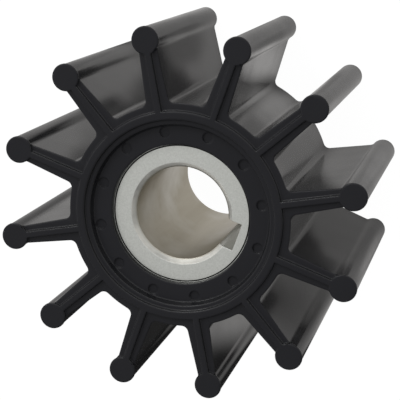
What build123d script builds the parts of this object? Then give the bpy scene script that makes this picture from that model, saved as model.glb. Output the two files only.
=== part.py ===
"""Flexible-vane pump impeller: a moulded rubber body bonded onto a turned metal bush.

The axis of rotation is Z. The lower end stands on Z = 0, and the keyway and one vane lie on +X.
Each piece is modelled above its mid plane and mirrored, and the upper end then gets its pads and pits.
"""

import os

from build123d import *

# Driving dimensions, in millimetres and degrees. The raised ring, ribs and pads of an end share
# its end plane, and shelf_depth is measured down from that plane.

# Overall
overall_width = 48.5
vane_count = 12

# Vanes: a web that thins outwards, and a bulb along its tip
tip_circle_radius = 37.1
bulb_radius = 2.74
bulb_fillet = 1.6
web_root_thickness = 5.1
web_tip_thickness = 3.65
hub_radius = 23.9
root_fillet = 1.4

# Relief on each end: a ring on the hub and a rib along each vane, level with the ends of the bulbs.
# At the upper end a pad caps each bulb.
relief_height = 0.7
relief_draft = 20.0
ring_setback = 1.45
ring_top_width = 1.85
ring_inner_lean = 0.25
rib_width = 1.7
pad_overhang = 0.16

# Stepped face of the hub inside the ring: a narrow ledge, and a lower shelf round the bush
ledge_drop = 0.05
ledge_width = 0.85
shelf_depth = 2.2
shelf_wall_lean = 0.55

# Ring of shallow pits in the upper shelf, one in line with each vane
pit_radius = 1.1
pit_depth = 0.4
pit_wall_clearance = 0.1

# Bush, with its faces sunk below the shelves
bush_radius = 15.0
bush_sink = 1.1
bore_radius = 10.0
bore_chamfer = 1.0
rim_width = 0.2
groove_width = 0.2
groove_depth = 0.25
keyway_width = 6.0
keyway_depth = 2.8

# Radii that follow from them, from the hub's wall inwards
ring_outer_radius = hub_radius - ring_setback
ring_inner_radius = ring_outer_radius - ring_top_width
ring_inner_foot_radius = ring_inner_radius - ring_inner_lean
ledge_inner_radius = ring_inner_foot_radius - ledge_width
shelf_outer_radius = ledge_inner_radius - shelf_wall_lean
pit_circle_radius = shelf_outer_radius - pit_wall_clearance - pit_radius
groove_outer_radius = bush_radius - rim_width
groove_inner_radius = groove_outer_radius - groove_width
keyway_reach = bore_radius + keyway_depth
pad_radius = bulb_radius + pad_overhang

# A rib runs from inside the ring to the middle of its bulb
rib_length = tip_circle_radius - ring_inner_radius
rib_mid_radius = (tip_circle_radius + ring_inner_radius) / 2

# Heights and planes of the upper half
mid_height = overall_width / 2
vane_end_height = overall_width - relief_height
ledge_height = vane_end_height - ledge_drop
shelf_height = overall_width - shelf_depth
bush_face_height = shelf_height - bush_sink
groove_floor_height = bush_face_height - groove_depth

mid_plane = Plane.XY.offset(mid_height)
vane_end_plane = Plane.XY.offset(vane_end_height)
shelf_plane = Plane.XY.offset(shelf_height)


# Section of one vane, lying along +X, with the hollow corners behind its bulb rounded
with BuildSketch() as vane_section:
    with BuildLine():
        Polyline(
            (ring_outer_radius, web_root_thickness / 2),
            (ring_outer_radius, -web_root_thickness / 2),
            (tip_circle_radius, -web_tip_thickness / 2),
            (tip_circle_radius, web_tip_thickness / 2),
            close=True,
        )
    make_face()
    with Locations((tip_circle_radius, 0)):
        Circle(bulb_radius)
    corners_behind_bulb = vane_section.vertices().group_by(Axis.X)[1]
    fillet(corners_behind_bulb, bulb_fillet)


# Moulded rubber body: hub, vanes and end relief in one piece
with BuildPart() as rubber_body:
    # Hub and vanes, with rounded roots
    with BuildSketch(mid_plane) as star_section:
        Circle(hub_radius)
        with PolarLocations(0, vane_count):
            add(vane_section.sketch)
        root_corners = star_section.vertices().group_by(SortBy.DISTANCE)[0]
        fillet(root_corners, root_fillet)
    extrude(amount=vane_end_height - mid_height)

    # Ring, still a full disc, and ribs, drawn at their foot and drafted upwards
    with BuildSketch(vane_end_plane):
        Circle(ring_outer_radius)
    extrude(amount=relief_height, taper=relief_draft)
    with BuildSketch(vane_end_plane):
        with PolarLocations(rib_mid_radius, vane_count):
            Rectangle(rib_length, rib_width)
    extrude(amount=relief_height, taper=relief_draft)

    # The bulbs run on to the end plane
    with BuildSketch(vane_end_plane):
        with PolarLocations(tip_circle_radius, vane_count):
            Circle(bulb_radius)
    extrude(amount=relief_height)

    # Stepped mouth inside the ring, and the seat of the bush below it
    with BuildSketch(Plane.XZ):
        with BuildLine():
            Polyline(
                (0, mid_height),
                (bush_radius, mid_height),
                (bush_radius, shelf_height),
                (shelf_outer_radius, shelf_height),
                (ledge_inner_radius, ledge_height),
                (ring_inner_foot_radius, ledge_height),
                (ring_inner_radius, overall_width),
                (0, overall_width),
                close=True,
            )
        make_face()
    revolve(axis=Axis.Z, mode=Mode.SUBTRACT)

    # The other end
    mirror(about=mid_plane)

    # The upper end, where the mould opens, has pads that stand out a little round the bulbs
    with BuildSketch(vane_end_plane):
        with PolarLocations(tip_circle_radius, vane_count):
            Circle(pad_radius)
    extrude(amount=relief_height)

    # Pits in the shelf of the upper end
    with BuildSketch(shelf_plane):
        with PolarLocations(pit_circle_radius, vane_count):
            Circle(pit_radius)
    extrude(amount=-pit_depth, mode=Mode.SUBTRACT)

rubber_body.part.label = "rubber_body"


# Turned bush: a sleeve with chamfered mouths, a fine groove near the rim of each face, and a keyway
with BuildPart() as hub_bush:
    with BuildSketch(Plane.XZ):
        with BuildLine():
            Polyline(
                (bore_radius, mid_height),
                (bore_radius, bush_face_height - bore_chamfer),
                (bore_radius + bore_chamfer, bush_face_height),
                (groove_inner_radius, bush_face_height),
                (groove_inner_radius, groove_floor_height),
                (groove_outer_radius, groove_floor_height),
                (groove_outer_radius, bush_face_height),
                (bush_radius, bush_face_height),
                (bush_radius, mid_height),
                close=True,
            )
        make_face()
    revolve(axis=Axis.Z)

    # Keyway, open along the whole bore
    with BuildSketch(mid_plane):
        with Locations((keyway_reach / 2, 0)):
            Rectangle(keyway_reach, keyway_width)
    extrude(until=Until.LAST, mode=Mode.SUBTRACT)

    # The other end
    mirror(about=mid_plane)

hub_bush.part.label = "hub_bush"


os.makedirs("parts", exist_ok=True)
export_step(rubber_body.part, "parts/rubber_body.step")
export_step(hub_bush.part, "parts/hub_bush.step")
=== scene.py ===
from math import radians

import bmesh
import bpy
from mathutils import Euler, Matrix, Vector


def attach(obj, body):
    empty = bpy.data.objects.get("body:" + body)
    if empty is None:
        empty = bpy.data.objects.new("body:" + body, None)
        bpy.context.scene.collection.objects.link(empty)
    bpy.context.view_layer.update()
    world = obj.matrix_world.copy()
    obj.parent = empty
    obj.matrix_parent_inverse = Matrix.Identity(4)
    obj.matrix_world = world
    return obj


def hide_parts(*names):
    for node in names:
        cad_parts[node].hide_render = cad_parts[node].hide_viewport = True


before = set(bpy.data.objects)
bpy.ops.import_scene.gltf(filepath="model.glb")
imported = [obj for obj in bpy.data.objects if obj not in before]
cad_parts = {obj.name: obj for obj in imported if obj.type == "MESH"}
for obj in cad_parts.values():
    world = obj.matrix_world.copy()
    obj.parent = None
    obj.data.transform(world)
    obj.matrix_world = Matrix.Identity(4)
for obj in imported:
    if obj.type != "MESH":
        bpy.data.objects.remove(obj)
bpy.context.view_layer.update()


# Studio: one large soft lamp, and a white room that is brightest towards the lamp's side and
# darkens overhead. The camera looks down on the upper end from one side, with a long lens.
scene = bpy.context.scene
scene.view_settings.view_transform = "Standard"

camera_place = (0.04345, 0.08392, 0.28740)
camera_turn = (radians(-13.678), radians(15.062), radians(19.744))
lens_mm = 111.5
sensor_mm = 36.0
nearest_sight = 0.01

camera_data = bpy.data.cameras.new("camera")
camera_data.lens = lens_mm
camera_data.sensor_width = sensor_mm
camera_data.clip_start = nearest_sight
camera = bpy.data.objects.new("camera", camera_data)
camera.location = camera_place
camera.rotation_euler = Euler(camera_turn, "XYZ")
scene.collection.objects.link(camera)
scene.camera = camera

part_middle = Vector((0.0, 0.0, 0.024))
lamp_direction = Vector((-0.62, 0.52, 0.59))
lamp_distance = 0.6
lamp_width = 0.20
lamp_watts = 1.0

lamp_data = bpy.data.lights.new("window", "AREA")
lamp_data.size = lamp_width
lamp_data.energy = lamp_watts
lamp = bpy.data.objects.new("window", lamp_data)
lamp.location = part_middle + lamp_distance * lamp_direction.normalized()
lamp.rotation_euler = (part_middle - lamp.location).to_track_quat("-Z", "Y").to_euler()
scene.collection.objects.link(lamp)

# Brightness of the room at its side and overhead, and the share of it on the dim and bright sides.
# Each range says between which two readings of the direction the brightness changes.
room_side = 0.95
room_overhead = 0.62
overhead_range = (0.1, 0.9)
bright_side = (-0.72, 0.67, 0.19)
dim_share = 0.36
bright_share = 1.55
bright_side_range = (-0.8, 0.9)


def add_range(nodes, links, value, start, end, at_start, at_end, smooth=False):
    """A number that goes from at_start to at_end as the value goes from start to end."""
    remap = nodes.new("ShaderNodeMapRange")
    if smooth:
        remap.interpolation_type = "SMOOTHSTEP"
    remap.inputs["From Min"].default_value = start
    remap.inputs["From Max"].default_value = end
    remap.inputs["To Min"].default_value = at_start
    remap.inputs["To Max"].default_value = at_end
    links.new(value, remap.inputs["Value"])
    return remap.outputs["Result"]


def add_maths(nodes, links, operation, first, second=None):
    """The operation done on one number or two, each a value or another node's output."""
    maths = nodes.new("ShaderNodeMath")
    maths.operation = operation
    for socket, value in zip(maths.inputs, (first, second)):
        if isinstance(value, float):
            socket.default_value = value
        elif value is not None:
            links.new(value, socket)
    return maths.outputs[0]


def add_vector_maths(nodes, links, operation, first, second=(0.0, 0.0, 0.0)):
    """The number that comes from one vector and a fixed second one."""
    maths = nodes.new("ShaderNodeVectorMath")
    maths.operation = operation
    maths.inputs[1].default_value = second
    links.new(first, maths.inputs[0])
    return maths.outputs["Value"]


world = bpy.data.worlds.new("room")
world.use_nodes = True
scene.world = world
nodes, links = world.node_tree.nodes, world.node_tree.links
looking = nodes.new("ShaderNodeTexCoord").outputs["Generated"]
height = nodes.new("ShaderNodeSeparateXYZ")
links.new(looking, height.inputs[0])
fade = add_range(nodes, links, height.outputs["Z"], *overhead_range, room_side, room_overhead)
towards = add_vector_maths(nodes, links, "DOT_PRODUCT", looking, bright_side)
side_share = add_range(nodes, links, towards, *bright_side_range, dim_share, bright_share)
room_light = add_maths(nodes, links, "MULTIPLY", fade, side_share)
links.new(room_light, nodes["Background"].inputs["Color"])


# White sheet: matt card that the part stands on. The camera sees it white, with the part's soft
# shadow. To polished faces it glows dimmer, with painted shadow in front and close to the part, and
# painted brighter and darker reflection patches.
sheet_size = 3.0
sheet_height = -0.0001
card_white = (0.9, 0.9, 0.9, 1.0)
card_roughness = 0.9
camera_share = 0.92
camera_glow = 1.06
camera_tint = (1.0, 1.0, 1.0, 1.0)
mirrored_tint = (1.0, 0.98, 0.965, 1.0)
# The dim place beside the bore, painted shade in reflections: its middle, where it ends, and the glow in
# it and round it
dim_middle = (0.028, 0.0)
dim_range = (0.010, 0.026)
dim_glow = 0.31
even_glow = 0.45
# The dark front, a painted shadow of the part: its direction, how far out it starts and is full, and the
# share of glow left
front_direction = (0.25, -0.97, 0.0)
front_range = (0.035, 0.044)
front_share = 0.07
# The painted contact shadow close to the part: how near, the share of open sky over which it fades, and
# its depth
contact_distance = 0.004
contact_samples = 8
contact_range = (0.2, 0.7)
contact_share = 0.55
# Place, inner radius, outer radius and change of brightness of each painted reflection patch: a painted
# highlight where it adds, painted shade where it takes away
painted_reflection_patches = (
    ((0.000, 0.000), 0.010, 0.018, 0.40),
    ((0.008, 0.029), 0.002, 0.007, 0.22),
    ((0.010, 0.037), 0.003, 0.008, -0.14),
    ((0.004, 0.022), 0.001, 0.005, -0.25),
    ((-0.007, 0.034), 0.003, 0.007, -0.16),
    ((-0.025, 0.031), 0.006, 0.012, 0.16),
    ((-0.018, 0.021), 0.004, 0.009, -0.26),
    ((-0.036, 0.018), 0.003, 0.008, -0.28),
    ((-0.047, 0.013), 0.005, 0.012, 0.10),
    ((0.047, 0.003), 0.003, 0.008, 0.18),
    ((0.036, 0.029), 0.004, 0.011, 0.16),
    ((0.041, -0.005), 0.004, 0.010, -0.07),
    ((0.030, -0.030), 0.004, 0.009, 0.20),
)

shape = bmesh.new()
bmesh.ops.create_grid(shape, x_segments=1, y_segments=1, size=sheet_size / 2)
bmesh.ops.translate(shape, verts=shape.verts, vec=(0.0, 0.0, sheet_height))
sheet_mesh = bpy.data.meshes.new("white_sheet")
shape.to_mesh(sheet_mesh)
shape.free()
sheet = bpy.data.objects.new("white_sheet", sheet_mesh)
scene.collection.objects.link(sheet)


def new_material(piece, name):
    """A node material on the piece, and its nodes, links and shader."""
    material = bpy.data.materials.new(name)
    material.use_nodes = True
    piece.data.materials.append(material)
    nodes = material.node_tree.nodes
    return nodes, material.node_tree.links, nodes["Principled BSDF"]


nodes, links, shader = new_material(sheet, "white_sheet")
shader.inputs["Base Color"].default_value = card_white
shader.inputs["Roughness"].default_value = card_roughness
light_path = nodes.new("ShaderNodeLightPath")
place = nodes.new("ShaderNodeTexCoord").outputs["Object"]


def sheet_spot(middle, start, end, inside, outside):
    """A round spot on the sheet, of one brightness inside it and another outside."""
    away = add_vector_maths(nodes, links, "DISTANCE", place, (*middle, sheet_height))
    return add_range(nodes, links, away, start, end, inside, outside, smooth=True)


# Painted shadow: the glow that polished faces see falls away in front of the part.
forwards = add_vector_maths(nodes, links, "DOT_PRODUCT", place, front_direction)
painted_front_shadow = add_range(nodes, links, forwards, *front_range, 1.0, front_share, smooth=True)
# Painted reflections: the glow that polished faces see has a dim place and brighter and darker patches.
painted_mirror_glow = sheet_spot(dim_middle, *dim_range, dim_glow, even_glow)
for middle, inner, outer, change in painted_reflection_patches:
    patch = sheet_spot(middle, inner, outer, change, 0.0)
    painted_mirror_glow = add_maths(nodes, links, "ADD", painted_mirror_glow, patch)
painted_mirror_glow = add_maths(nodes, links, "MULTIPLY", painted_mirror_glow, painted_front_shadow)
# Painted contact shadow: the glow that polished faces see darkens close to the part.
painted_contact_shadow = nodes.new("ShaderNodeAmbientOcclusion")
painted_contact_shadow.samples = contact_samples
painted_contact_shadow.inputs["Distance"].default_value = contact_distance
painted_contact_shade = add_range(nodes, links, painted_contact_shadow.outputs["AO"], *contact_range, contact_share, 1.0, smooth=True)
painted_mirror_glow = add_maths(nodes, links, "MULTIPLY", painted_mirror_glow, painted_contact_shade)

strength = nodes.new("ShaderNodeMix")
links.new(light_path.outputs["Is Camera Ray"], strength.inputs["Factor"])
links.new(painted_mirror_glow, strength.inputs[2])
strength.inputs[3].default_value = camera_glow
tint = nodes.new("ShaderNodeMix")
tint.data_type = "RGBA"
links.new(light_path.outputs["Is Camera Ray"], tint.inputs["Factor"])
tint.inputs[6].default_value = mirrored_tint
tint.inputs[7].default_value = camera_tint
glow = nodes.new("ShaderNodeEmission")
links.new(tint.outputs[2], glow.inputs["Color"])
links.new(strength.outputs[0], glow.inputs["Strength"])
glow_share = nodes.new("ShaderNodeMath")
glow_share.operation = "MULTIPLY_ADD"
links.new(light_path.outputs["Is Camera Ray"], glow_share.inputs[0])
glow_share.inputs[1].default_value = camera_share
links.new(light_path.outputs["Is Glossy Ray"], glow_share.inputs[2])
card_or_glow = nodes.new("ShaderNodeMixShader")
links.new(glow_share.outputs[0], card_or_glow.inputs["Fac"])
links.new(shader.outputs[0], card_or_glow.inputs[1])
links.new(glow.outputs[0], card_or_glow.inputs[2])
links.new(card_or_glow.outputs[0], nodes["Material Output"].inputs["Surface"])


# Rubber body: one moulding of black rubber, bonded to the bush as it is moulded. Its edges are
# slightly rounded. The vanes have the gloss of a polished mould, and the ends are duller.

# The edges are rounded in the mesh, and the inner and outer corners are softened in the shading too
edge_rounding = 0.00020
corner_rounding = 0.00045
rounding_samples = 6
rubber_least_wall = 0.0005
sharp_edge = radians(35)
merge_distance = 1e-6
level_enough = 0.99

# Blacks between which the vane sides vary and those for the ends, with the gloss of each. The ends'
# blacks are a little darker and bluer than the sides': painted shade on the ends. A face counts as a side
# below the first reading of end_turn, and as an end above the second.
side_blacks = ((0.0085, 0.0087, 0.0100), (0.0120, 0.0122, 0.0135))
ends_painted_shade_blacks = ((0.0074, 0.0075, 0.0098), (0.0106, 0.0107, 0.0134))
side_roughness_range = (0.10, 0.20)
end_roughness = 0.45
side_shine = 0.5
end_shine = 0.22
end_turn = (0.4, 0.9)
cloud_scale = 120.0
wave_scale = 60.0
wave_depth = 0.00012
grain_scale = 3500.0
grain_depth = 0.000004
# The readings of a noise between which its two colours or roughnesses blend
noise_middle = (0.3, 0.7)


def is_rim(edge, least_wall):
    """True for a sharp outer edge between an end face and a wall of some height."""
    if not edge.is_manifold or edge.calc_face_angle_signed() < sharp_edge:
        return False
    end, wall = sorted(edge.link_faces, key=lambda face: -abs(face.normal.z))
    heights = [corner.co.z for corner in wall.verts]
    return abs(end.normal.z) > level_enough and max(heights) - min(heights) > least_wall


def rounded_copy(node_name, name, rounding, least_wall):
    """A copy of a piece with its faces merged and the edges of its end faces rounded."""
    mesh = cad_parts[node_name].data.copy()
    mesh.name = name
    mesh.materials.clear()
    shape = bmesh.new()
    shape.from_mesh(mesh)
    bmesh.ops.remove_doubles(shape, verts=shape.verts, dist=merge_distance)
    rims = [edge for edge in shape.edges if is_rim(edge, least_wall)]
    bmesh.ops.bevel(shape, geom=rims, offset=rounding, offset_type="OFFSET", affect="EDGES",
                    segments=3, profile=0.5, material=-1, clamp_overlap=False)
    for face in shape.faces:
        face.smooth = True
    for edge in shape.edges:
        edge.smooth = edge.is_manifold and edge.calc_face_angle() < sharp_edge
    shape.to_mesh(mesh)
    shape.free()
    piece = bpy.data.objects.new(name, mesh)
    scene.collection.objects.link(piece)
    weighted = piece.modifiers.new("flat_faces_stay_flat", "WEIGHTED_NORMAL")
    weighted.weight = 100
    weighted.keep_sharp = True
    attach(piece, "root")
    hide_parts(node_name)
    return piece


def add_noise(nodes, links, vector, scale, detail):
    """Soft uneven patches, of about 1 / scale metres."""
    noise = nodes.new("ShaderNodeTexNoise")
    noise.inputs["Scale"].default_value = scale
    noise.inputs["Detail"].default_value = detail
    links.new(vector, noise.inputs["Vector"])
    return noise.outputs["Fac"]


def add_colours(nodes, links, value, first, second):
    """A colour that runs from the first to the second as the value goes from 0 to 1."""
    mix = nodes.new("ShaderNodeMix")
    mix.data_type = "RGBA"
    links.new(value, mix.inputs["Factor"])
    for socket, colour in ((mix.inputs[6], first), (mix.inputs[7], second)):
        if isinstance(colour, tuple):
            socket.default_value = (*colour, 1.0)
        else:
            links.new(colour, socket)
    return mix.outputs[2]


def add_rounding(nodes, radius):
    """The normal of a surface whose inner and outer corners are softened to a radius in metres."""
    rounding = nodes.new("ShaderNodeBevel")
    rounding.samples = rounding_samples
    rounding.inputs["Radius"].default_value = radius
    return rounding.outputs["Normal"]


def add_bump(nodes, links, value, depth, under):
    """Relief of a depth in metres, over the relief under it."""
    bump = nodes.new("ShaderNodeBump")
    bump.inputs["Strength"].default_value = 1.0
    bump.inputs["Distance"].default_value = depth
    links.new(value, bump.inputs["Height"])
    links.new(under, bump.inputs["Normal"])
    return bump.outputs["Normal"]


rubber_body = rounded_copy("rubber_body", "moulded_body", edge_rounding, rubber_least_wall)

nodes, links, shader = new_material(rubber_body, "black_rubber")
place = nodes.new("ShaderNodeTexCoord").outputs["Object"]
facing = nodes.new("ShaderNodeSeparateXYZ")
links.new(nodes.new("ShaderNodeNewGeometry").outputs["Normal"], facing.inputs[0])
upright = add_maths(nodes, links, "ABSOLUTE", facing.outputs["Z"])
on_end = add_range(nodes, links, upright, *end_turn, 0.0, 1.0)
clouds = add_noise(nodes, links, place, cloud_scale, detail=3.0)

side_roughness = add_range(nodes, links, clouds, *noise_middle, *side_roughness_range)
roughness = nodes.new("ShaderNodeMix")
links.new(on_end, roughness.inputs["Factor"])
links.new(side_roughness, roughness.inputs[2])
roughness.inputs[3].default_value = end_roughness
links.new(roughness.outputs[0], shader.inputs["Roughness"])

side_black = add_colours(nodes, links, clouds, *side_blacks)
# Painted shade: the ends get a darker, bluer black than the vane sides of the same rubber.
end_painted_shade_black = add_colours(nodes, links, clouds, *ends_painted_shade_blacks)
links.new(add_colours(nodes, links, on_end, side_black, end_painted_shade_black), shader.inputs["Base Color"])
shine = add_range(nodes, links, on_end, 0.0, 1.0, side_shine, end_shine)
links.new(shine, shader.inputs["Specular IOR Level"])

waves = add_noise(nodes, links, place, wave_scale, detail=1.0)
grain = add_noise(nodes, links, place, grain_scale, detail=2.0)
relief = add_bump(nodes, links, waves, wave_depth, add_rounding(nodes, corner_rounding))
relief = add_bump(nodes, links, grain, grain_depth, relief)
links.new(relief, shader.inputs["Normal"])


# Hub bush: a metal sleeve turned from bar. Its faces are fine turned and pale, and its bore has
# a duller, warmer skin with streaks along it.
bush_rounding = 0.00008
bush_least_wall = 0.0002

# Distances from the axis at which the chamfer starts and ends and the rim groove opens and closes
bore_radius = 0.0100
chamfer_start = (bore_radius, bore_radius + 0.0006)
chamfer_end = (0.01095, 0.01105)
groove_start = (0.01450, 0.01458)
groove_end = (0.01482, 0.01486)

bore_metals = ((0.31, 0.28, 0.215), (0.43, 0.40, 0.33))
# Painted reflections: the colour of pale neutral patches in the bore.
painted_reflection_metal = (0.50, 0.485, 0.44)
face_metals = ((0.59, 0.60, 0.565), (0.69, 0.70, 0.665))
# Painted shade and highlights: the chamfer is the face's metal, coloured darker, with paler streaks as
# painted highlights.
chamfer_shade_and_highlight_metals = ((0.52, 0.52, 0.50), (0.80, 0.79, 0.75))
# Painted shade: the floor of the rim groove is coloured near black.
groove_painted_shade = (0.02, 0.02, 0.02)
face_roughness = 0.42
chamfer_roughness = 0.85
streak_stretch = (1.0, 1.0, 0.12)
streak_scale = 140.0
chamfer_highlight_readings = (0.35, 0.65)
reflection_patch_scale = 85.0
reflection_patch_range = (0.45, 0.70)
reflection_patch_share = 0.8
mottle_scale = 3200.0
mottle_depth = 0.000008
turning_rate = 42000.0
turning_depth = 0.000002

hub_bush = rounded_copy("hub_bush", "turned_bush", bush_rounding, bush_least_wall)

nodes, links, shader = new_material(hub_bush, "turned_metal")
shader.inputs["Metallic"].default_value = 1.0
place = nodes.new("ShaderNodeTexCoord").outputs["Object"]
along = nodes.new("ShaderNodeSeparateXYZ")
links.new(place, along.inputs[0])
across = nodes.new("ShaderNodeCombineXYZ")
links.new(along.outputs["X"], across.inputs["X"])
links.new(along.outputs["Y"], across.inputs["Y"])
radius = add_vector_maths(nodes, links, "LENGTH", across.outputs[0])
on_face = add_range(nodes, links, radius, *chamfer_start, 0.0, 1.0)
in_chamfer = add_maths(nodes, links, "MULTIPLY", on_face,
                       add_range(nodes, links, radius, *chamfer_end, 1.0, 0.0))
in_shaded_groove = add_maths(nodes, links, "MULTIPLY",
                      add_range(nodes, links, radius, *groove_start, 0.0, 1.0),
                      add_range(nodes, links, radius, *groove_end, 1.0, 0.0))

stretched = nodes.new("ShaderNodeMapping")
stretched.inputs["Scale"].default_value = streak_stretch
links.new(place, stretched.inputs["Vector"])
streak_and_highlight_noise = add_noise(nodes, links, stretched.outputs[0], streak_scale, detail=5.0)
bore_streaks = add_range(nodes, links, streak_and_highlight_noise, *noise_middle, 0.0, 1.0)
colour = add_colours(nodes, links, bore_streaks, *bore_metals)
# Painted reflections: pale patches spread over the bore by a noise.
reflection_patches = add_noise(nodes, links, place, reflection_patch_scale, detail=3.0)
reflection_patches = add_range(nodes, links, reflection_patches, *reflection_patch_range, 0.0, reflection_patch_share)
colour = add_colours(nodes, links, reflection_patches, colour, painted_reflection_metal)
mottle = add_noise(nodes, links, place, mottle_scale, detail=3.0)
face_mottle = add_range(nodes, links, mottle, *noise_middle, 0.0, 1.0)
face_colour = add_colours(nodes, links, face_mottle, *face_metals)
colour = add_colours(nodes, links, on_face, colour, face_colour)
# Painted highlights on the chamfer: its pale streaks follow the same noise as the bore's streaks.
chamfer_painted_highlights = add_range(nodes, links, streak_and_highlight_noise, *chamfer_highlight_readings, 0.0, 1.0)
chamfer_painted_colour = add_colours(nodes, links, chamfer_painted_highlights, *chamfer_shade_and_highlight_metals)
colour = add_colours(nodes, links, in_chamfer, colour, chamfer_painted_colour)
# Painted shade in the rim groove.
colour = add_colours(nodes, links, in_shaded_groove, colour, groove_painted_shade)
links.new(colour, shader.inputs["Base Color"])

roughness = add_range(nodes, links, in_chamfer, 0.0, 1.0, face_roughness, chamfer_roughness)
links.new(roughness, shader.inputs["Roughness"])
turning = add_maths(nodes, links, "SINE", add_maths(nodes, links, "MULTIPLY", radius, turning_rate))
relief = add_bump(nodes, links, turning, turning_depth, add_rounding(nodes, bush_rounding))
relief = add_bump(nodes, links, mottle, mottle_depth, relief)
links.new(relief, shader.inputs["Normal"])
